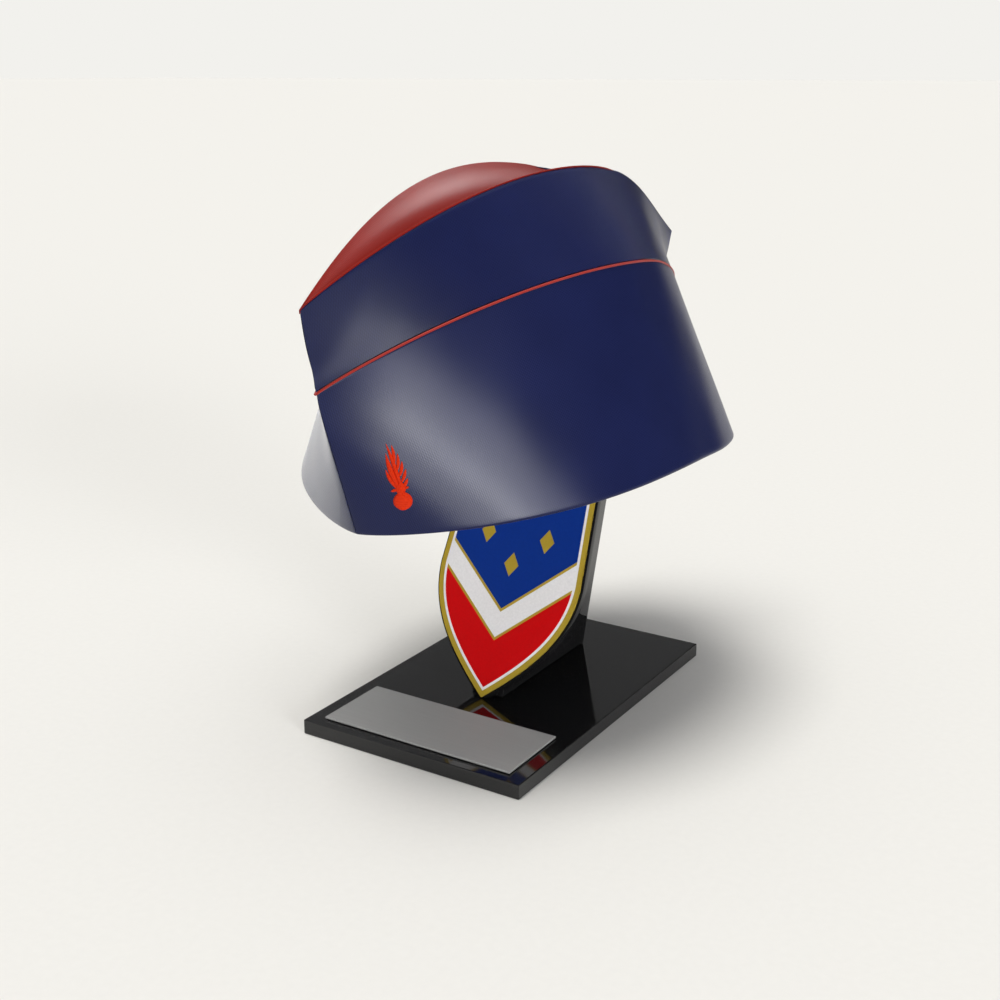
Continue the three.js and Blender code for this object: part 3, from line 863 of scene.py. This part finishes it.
def soften_edges(bm, offset):
    sharp = [e for e in bm.edges if e.is_manifold and e.calc_face_angle() > math.radians(BEVEL_FROM)]
    bmesh.ops.bevel(bm, geom=sharp, offset=offset * MM, segments=3, profile=0.5, affect="EDGES")


def cut_level(bm, z, outward):
    """Cuts a closed mesh level, drops what lies outward of the cut and closes it."""
    cut = bmesh.ops.bisect_plane(
        bm, geom=bm.verts[:] + bm.edges[:] + bm.faces[:], plane_co=(0, 0, z), plane_no=(0, 0, outward),
        clear_outer=True)
    rim = [item for item in cut["geom_cut"] if isinstance(item, bmesh.types.BMEdge)]
    bmesh.ops.holes_fill(bm, edges=rim)


def solid_piece(name, bm, material):
    """A piece made from a finished bmesh."""
    mesh = bpy.data.meshes.new(name)
    bm.to_mesh(mesh)
    bm.free()
    mesh.materials.append(material)
    return linked(name, mesh)


def softened_plate(name, node, edge, material):
    """A plate that fills a solid's box, with softened edges."""
    low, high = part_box(node)
    bm = bmesh.new()
    bmesh.ops.create_cube(bm, size=1)
    for vertex in bm.verts:
        vertex.co = [low[k] + (high[k] - low[k]) * (vertex.co[k] + 0.5) for k in range(3)]
    soften_edges(bm, edge)
    return solid_piece(name, bm, material)


def softened_copy(name, node, edge, material):
    """A solid's own shape, its flat faces made whole and its edges softened."""
    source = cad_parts[node]
    bm = bmesh.new()
    bm.from_mesh(source.data)
    bm.transform(source.matrix_world)
    bmesh.ops.remove_doubles(bm, verts=bm.verts[:], dist=0.01 * MM)
    bmesh.ops.dissolve_limit(bm, angle_limit=math.radians(1), verts=bm.verts[:], edges=bm.edges[:])
    soften_edges(bm, edge)
    piece = solid_piece(name, bm, material)
    set_smooth(piece.data, HARD_CREASE)
    return piece


def upright_shield(name, material):
    """The upright: a shield plate cut level at its foot and top, with polished, softened edges."""
    low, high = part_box("shield_plate")
    slab = upright_prism(shield_outline(), -UPRIGHT_THICKNESS, 0)
    piece = mesh_piece(name, [slab], [material], HARD_CREASE)
    bm = bmesh.new()
    bm.from_mesh(piece.data)
    cut_level(bm, low.z, -1)
    cut_level(bm, high.z, 1)
    soften_edges(bm, SHIELD_EDGE)
    bm.to_mesh(piece.data)
    bm.free()
    set_smooth(piece.data, HARD_CREASE)
    return piece


def printed_shield(name, materials):
    """The printed face: a thin sheet, a gold border, a white line, and a field of chevrons and lozenges."""
    low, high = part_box("shield_face")
    middle = np.array([0, SHIELD_SHOULDER[1]])
    whole = middle + (shield_outline() - middle) * (1 - FACE_MARGIN / SHIELD_SHOULDER[0])
    foot, top = ((z / MM - BASE_TOP) / math.cos(UPRIGHT_LEAN) for z in (low.z, high.z))

    def trimmed(margin):
        outline = inset(whole, margin) if margin else whole
        outline = kept_side(outline, np.array([0, 1]), foot)
        return kept_side(outline, np.array([0, -1]), FACE_MARGIN + margin - top)

    face = GAP + FACE_THICKNESS
    layers = [
        ("gold", trimmed(0), GAP, face),
        ("white", trimmed(FACE_BORDER), face - INK_FILM, face + INK_FILM)]
    half = kept_side(trimmed(FACE_BORDER + FACE_LINE), np.array([1, 0]), 0)
    climb = np.array([-CHEVRON_SLOPE, 1])
    for ink, low_edge, high_edge in zip(CHEVRON_INKS, CHEVRON_EDGES, CHEVRON_EDGES[1:]):
        band = both_sides(kept_side(kept_side(half, climb, low_edge), -climb, -high_edge))
        layers.append((ink, band, face, face + 2 * INK_FILM))
    wide, tall = LOZENGE_HALF
    for x, rise in LOZENGES:
        lozenge = np.array([(x, rise - tall), (x + wide, rise), (x, rise + tall), (x - wide, rise)], float)
        layers.append(("gold", lozenge, face + INK_FILM, face + 3 * INK_FILM))
    shells = [upright_prism(outline, low_out, high_out) for _, outline, low_out, high_out in layers]
    return mesh_piece(name, shells, [materials[ink] for ink, *_ in layers], HARD_CREASE)


def face_centre(thing, azimuth, elevation):
    """Turns a lamp or camera to look in from one direction: azimuth 0 is in front, 90 the wearer's left."""
    a, e = math.radians(azimuth), math.radians(elevation)
    back = Vector((math.sin(a) * math.cos(e), -math.cos(a) * math.cos(e), math.sin(e)))
    thing.rotation_euler = (-back).to_track_quat("-Z", "Y").to_euler()


def sun(name, azimuth, elevation, spread, strength, colour):
    """A soft studio light from one direction, as wide as its spread in degrees."""
    light = bpy.data.lights.new(name, "SUN")
    light.energy = strength
    light.angle = math.radians(spread)
    light.color = to_linear(colour)[:3]
    lamp = linked(name, light)
    face_centre(lamp, azimuth, elevation)
    return lamp


def light_only(lamp, pieces):
    """Keeps a lamp to a few pieces, as a flag or snoot does in a studio."""
    lit = bpy.data.collections.new(lamp.name)
    for piece in pieces:
        lit.objects.link(piece)
    lamp.light_linking.receiver_collection = lit
    return lit


def soft_fill(name, azimuth, elevation, spread, strength, *pieces):
    """A matt fill light without a reflection of its own, kept to a few pieces where they are named."""
    lamp = sun(name, azimuth, elevation, spread, strength, "#ffffff")
    lamp.visible_glossy = False
    if pieces:
        light_only(lamp, pieces)


def gleam(name, azimuth, elevation, spread, strength, *pieces):
    """A lamp that shows only as a shine on a few pieces; one under the floor's level shines through it."""
    lamp = sun(name, azimuth, elevation, spread, strength, "#ffffff")
    lamp.visible_diffuse = False
    lit = light_only(lamp, pieces)
    if elevation < spread / 2:
        lamp.light_linking.blocker_collection = lit


def studio_world(horizon, zenith, left_glow, backdrop):
    """Soft light that brightens upwards and to the left rear, behind a plain pale backdrop."""
    world = bpy.data.worlds.new("studio")
    bpy.context.scene.world = world
    world.use_nodes = True
    tree = world.node_tree
    tree.nodes.clear()
    direction = add_node(tree, "ShaderNodeTexCoord").outputs["Generated"]
    height = add_node(tree, "ShaderNodeSeparateXYZ", {"Vector": direction}).outputs["Z"]
    glow = add_node(
        tree, "ShaderNodeMapRange",
        {"Value": height, "From Min": 0.5, "From Max": 1.0, "To Min": horizon, "To Max": zenith},
        interpolation_type="SMOOTHSTEP")
    left_rear = add_node(
        tree, "ShaderNodeVectorMath", {0: direction, 1: LEFT_REAR}, operation="DOT_PRODUCT")
    side_glow = add_node(
        tree, "ShaderNodeMapRange",
        {"Value": left_rear.outputs["Value"], "From Min": 0.3, "From Max": 1.0, "To Min": 0,
         "To Max": left_glow},
        interpolation_type="SMOOTHSTEP")
    total = add_node(tree, "ShaderNodeMath", {0: glow.outputs[0], 1: side_glow.outputs[0]}, operation="ADD")
    light = add_node(tree, "ShaderNodeBackground", {"Strength": total.outputs[0]})
    plain = add_node(tree, "ShaderNodeBackground", {"Color": to_linear(backdrop), "Strength": 1.0})
    seen = add_node(tree, "ShaderNodeLightPath").outputs["Is Camera Ray"]
    mixed = add_node(
        tree, "ShaderNodeMixShader", {0: seen, 1: light.outputs[0], 2: plain.outputs[0]})
    add_node(tree, "ShaderNodeOutputWorld", {"Surface": mixed.outputs[0]})


def floor(name, material, half_size):
    corners = [(-half_size, -half_size, 0), (half_size, -half_size, 0),
               (half_size, half_size, 0), (-half_size, half_size, 0)]
    mesh = bpy.data.meshes.new(name)
    mesh.from_pydata(corners, [], [(0, 1, 2, 3)])
    mesh.materials.append(material)
    linked(name, mesh)


def photo_camera():
    data = bpy.data.cameras.new("photo camera")
    data.lens = 50
    data.sensor_width = 36
    data.clip_end = 200
    camera = linked("photo camera", data)
    camera.location = CAMERA_PLACE
    face_centre(camera, CAMERA_AZIMUTH, CAMERA_ELEVATION)
    bpy.context.scene.camera = camera


navy_wool = woven_wool("navy wool barathea", "#13183c", "#1e2550", 0.29, 0.18)
red_wool = woven_wool("red wool barathea", "#73120b", "#8f1e15", 0.36, 0.1)
red_cord = covered_cord("red covered piping cord", "#8a1510", "#b52b20")
flame_thread = rayon_thread("orange red rayon thread", "#cb2808", "#e23810")
navy_thread = rayon_thread("navy sewing thread", "#181c44", "#2b3166")
black_acrylic = cast_acrylic("black cast acrylic")
satin_metal = brushed_aluminium("brushed satin aluminium")
inks = {
    "gold": printed_ink("gold screen print", "#b49a34", 0.2),
    "white": printed_ink("white screen print", "#e2e0e0"),
    "blue": printed_ink("blue screen print", "#0c2f80"),
    "red": printed_ink("red screen print", "#c4080d"),
}

# The cap
shares = stations()
piping = piping_tree(red_cord)
stitches = stitch_tree(navy_thread)
piping_size = {"Radius": PIPING_RADIUS * MM}
stitch_size = {"Pitch": STITCH_PITCH * MM, "Stitch": STITCH_LENGTH * MM, "Thread": STITCH_THREAD * MM}
band_height = np.linalg.norm(line_point(FOLD, shares) - line_point(RIM, shares), axis=-1)
piping_line = inside_wall(shares, 1 - PIPING_DROP / band_height, PIPING_DEPTH)
hem_stitch_line = inside_wall(shares, HEM_STITCH_RISE / band_height, 2 * RIM_ROLL)
hem_stitch_line = hem_stitch_line[HEM_STITCH_ENDS:-HEM_STITCH_ENDS]
cap = {}
for side, mirrored in (("left", False), ("right", True)):
    across = np.array([-1 if mirrored else 1, 1, 1])
    shell = ring_shell(turn_up_rings(shares))
    turn_up = mesh_piece(f"turn_up_cloth_{side}", [shell], [navy_wool], CLOTH_CREASE, mirrored)
    settle(turn_up, "navy_cloth", f"turn_up_{side}")
    shell = ring_shell(side_panel_rings(shares))
    panel = mesh_piece(f"side_panel_cloth_{side}", [shell], [navy_wool], CLOTH_CREASE, mirrored)
    settle(panel, "navy_cloth", f"side_panel_{side}")
    cord = path_piece(f"piping_cord_{side}", piping_line * across, piping, piping_size)
    settle(cord, "red_piping", f"piping_{side}")
    hem_row = path_piece(f"hem_stitches_{side}", hem_stitch_line * across, stitches, stitch_size)
    settle(hem_row, "navy_cloth")
    cap[side] = (turn_up, panel)
crown = mesh_piece("crown_cloth", [ring_shell(crown_rings(CROWN_END * shares))], [red_wool], CLOTH_CREASE)
settle(crown, "red_cloth", "crown_top")
patches = [ball_patch()] + [tongue_patch(tongue) for tongue in TONGUES]
badge = mesh_piece("flame_embroidery", patches, [flame_thread] * len(patches), CLOTH_CREASE)
settle(badge, "badge_thread", "flame_badge")

# The stand
base = softened_plate("base_acrylic", "base_plate", PLATE_EDGE, black_acrylic)
settle(base, "black_acrylic", "base_plate")
plate = softened_plate("name_plate_metal", "name_plate", NAME_PLATE_EDGE, satin_metal)
settle(plate, "satin_metal", "name_plate")
settle(upright_shield("shield_acrylic", black_acrylic), "black_acrylic", "shield_plate")
shield_print = settle(printed_shield("shield_print", inks), "printed_face", "shield_face")
settle(softened_copy("post_acrylic", "cap_post", PLATE_EDGE, black_acrylic), "black_acrylic", "cap_post")

# The studio; a lamp's numbers are its azimuth, elevation and spread in degrees, and its strength
floor("paper_floor", studio_paper("seamless white paper"), FLOOR_HALF_SIZE)
studio_world(horizon=0.02, zenith=1.2, left_glow=0.05, backdrop="#f2f1ed")
sun("key", azimuth=-45, elevation=78, spread=30, strength=1.97, colour="#fffdf8")
soft_fill("side softbox", 66, 9, 24, 1.8)
soft_fill("front spot", 12, 6, 12, 1.5, shield_print)
soft_fill("plate spot", 40, 35, 20, 7.4, plate)
gleam("rear spot", -168, 41, 15, 0.75, crown)
turn_up, panel = cap["left"]
gleam("side window", 60, 5, 14, 2.1, turn_up)
gleam("side window top", 73, 15, 12, 0.75, turn_up)
gleam("side window foot", 46, -8, 16, 1.4, turn_up)
gleam("panel window", 87, -4, 20, 1.4, panel)
gleam("rear glow", 168, 20, 34, 0.07, panel)
gleam("left window", -117, -20, 60, 11.0, *cap["right"])
gleam("rear window", -148, 22, 44, 0.07, base)
photo_camera()
bpy.context.scene.view_settings.view_transform = "Standard"
